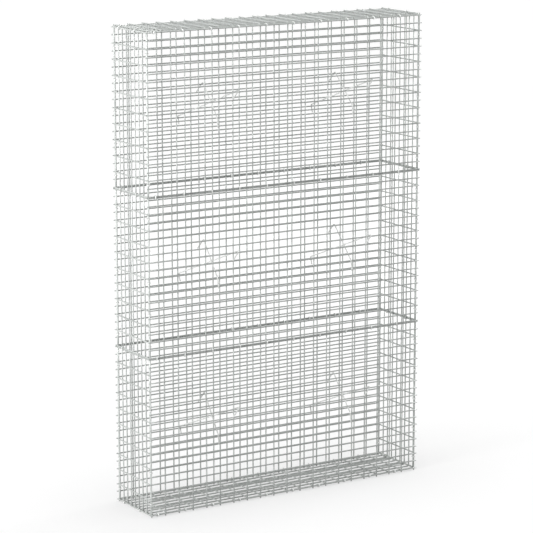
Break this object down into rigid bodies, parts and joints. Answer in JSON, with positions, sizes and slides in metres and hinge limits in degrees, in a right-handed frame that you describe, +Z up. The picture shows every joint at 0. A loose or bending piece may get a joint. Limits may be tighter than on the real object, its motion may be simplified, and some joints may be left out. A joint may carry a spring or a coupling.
{
  "type": "gabion wall basket",
  "caption": "Free-standing empty gabion wall basket of welded wire mesh panels in stacked tiers, ringed together at the seams and held by crossed tie rods.",
  "frame": {"origin": "centre of the footprint at the lowest wire tips", "axes": "+Z up, X along the length of the wall, front face towards -Y"},
  "size_m": [1.0182, 0.228, 1.5266],
  "materials": {
    "mesh": "galvanised, satin",
    "tie": "galvanised, satin",
    "ring": "galvanised, bright"
  },
  "bodies": {
    "root": {"front_lower": "mesh", "front_middle": "mesh", "front_upper": "mesh", "back_lower": "mesh", "back_middle": "mesh", "back_upper": "mesh", "left_lower": "mesh", "left_middle": "mesh", "left_upper": "mesh", "right_lower": "mesh", "right_middle": "mesh", "right_upper": "mesh", "base_panel": "mesh", "lid_panel": "mesh", "tie_lower_left_rise": "tie", "tie_lower_left_fall": "tie", "tie_lower_right_rise": "tie", "tie_lower_right_fall": "tie", "tie_middle_left_rise": "tie", "tie_middle_left_fall": "tie", "tie_middle_right_rise": "tie", "tie_middle_right_fall": "tie", "tie_upper_left_rise": "tie", "tie_upper_left_fall": "tie", "tie_upper_right_rise": "tie", "tie_upper_right_fall": "tie", "rings_base": "ring", "rings_seam_low": "ring", "rings_seam_high": "ring", "rings_lid": "ring", "rings_front_left": "ring", "rings_front_right": "ring", "rings_back_left": "ring", "rings_back_right": "ring"}
  },
  "joints": []
}
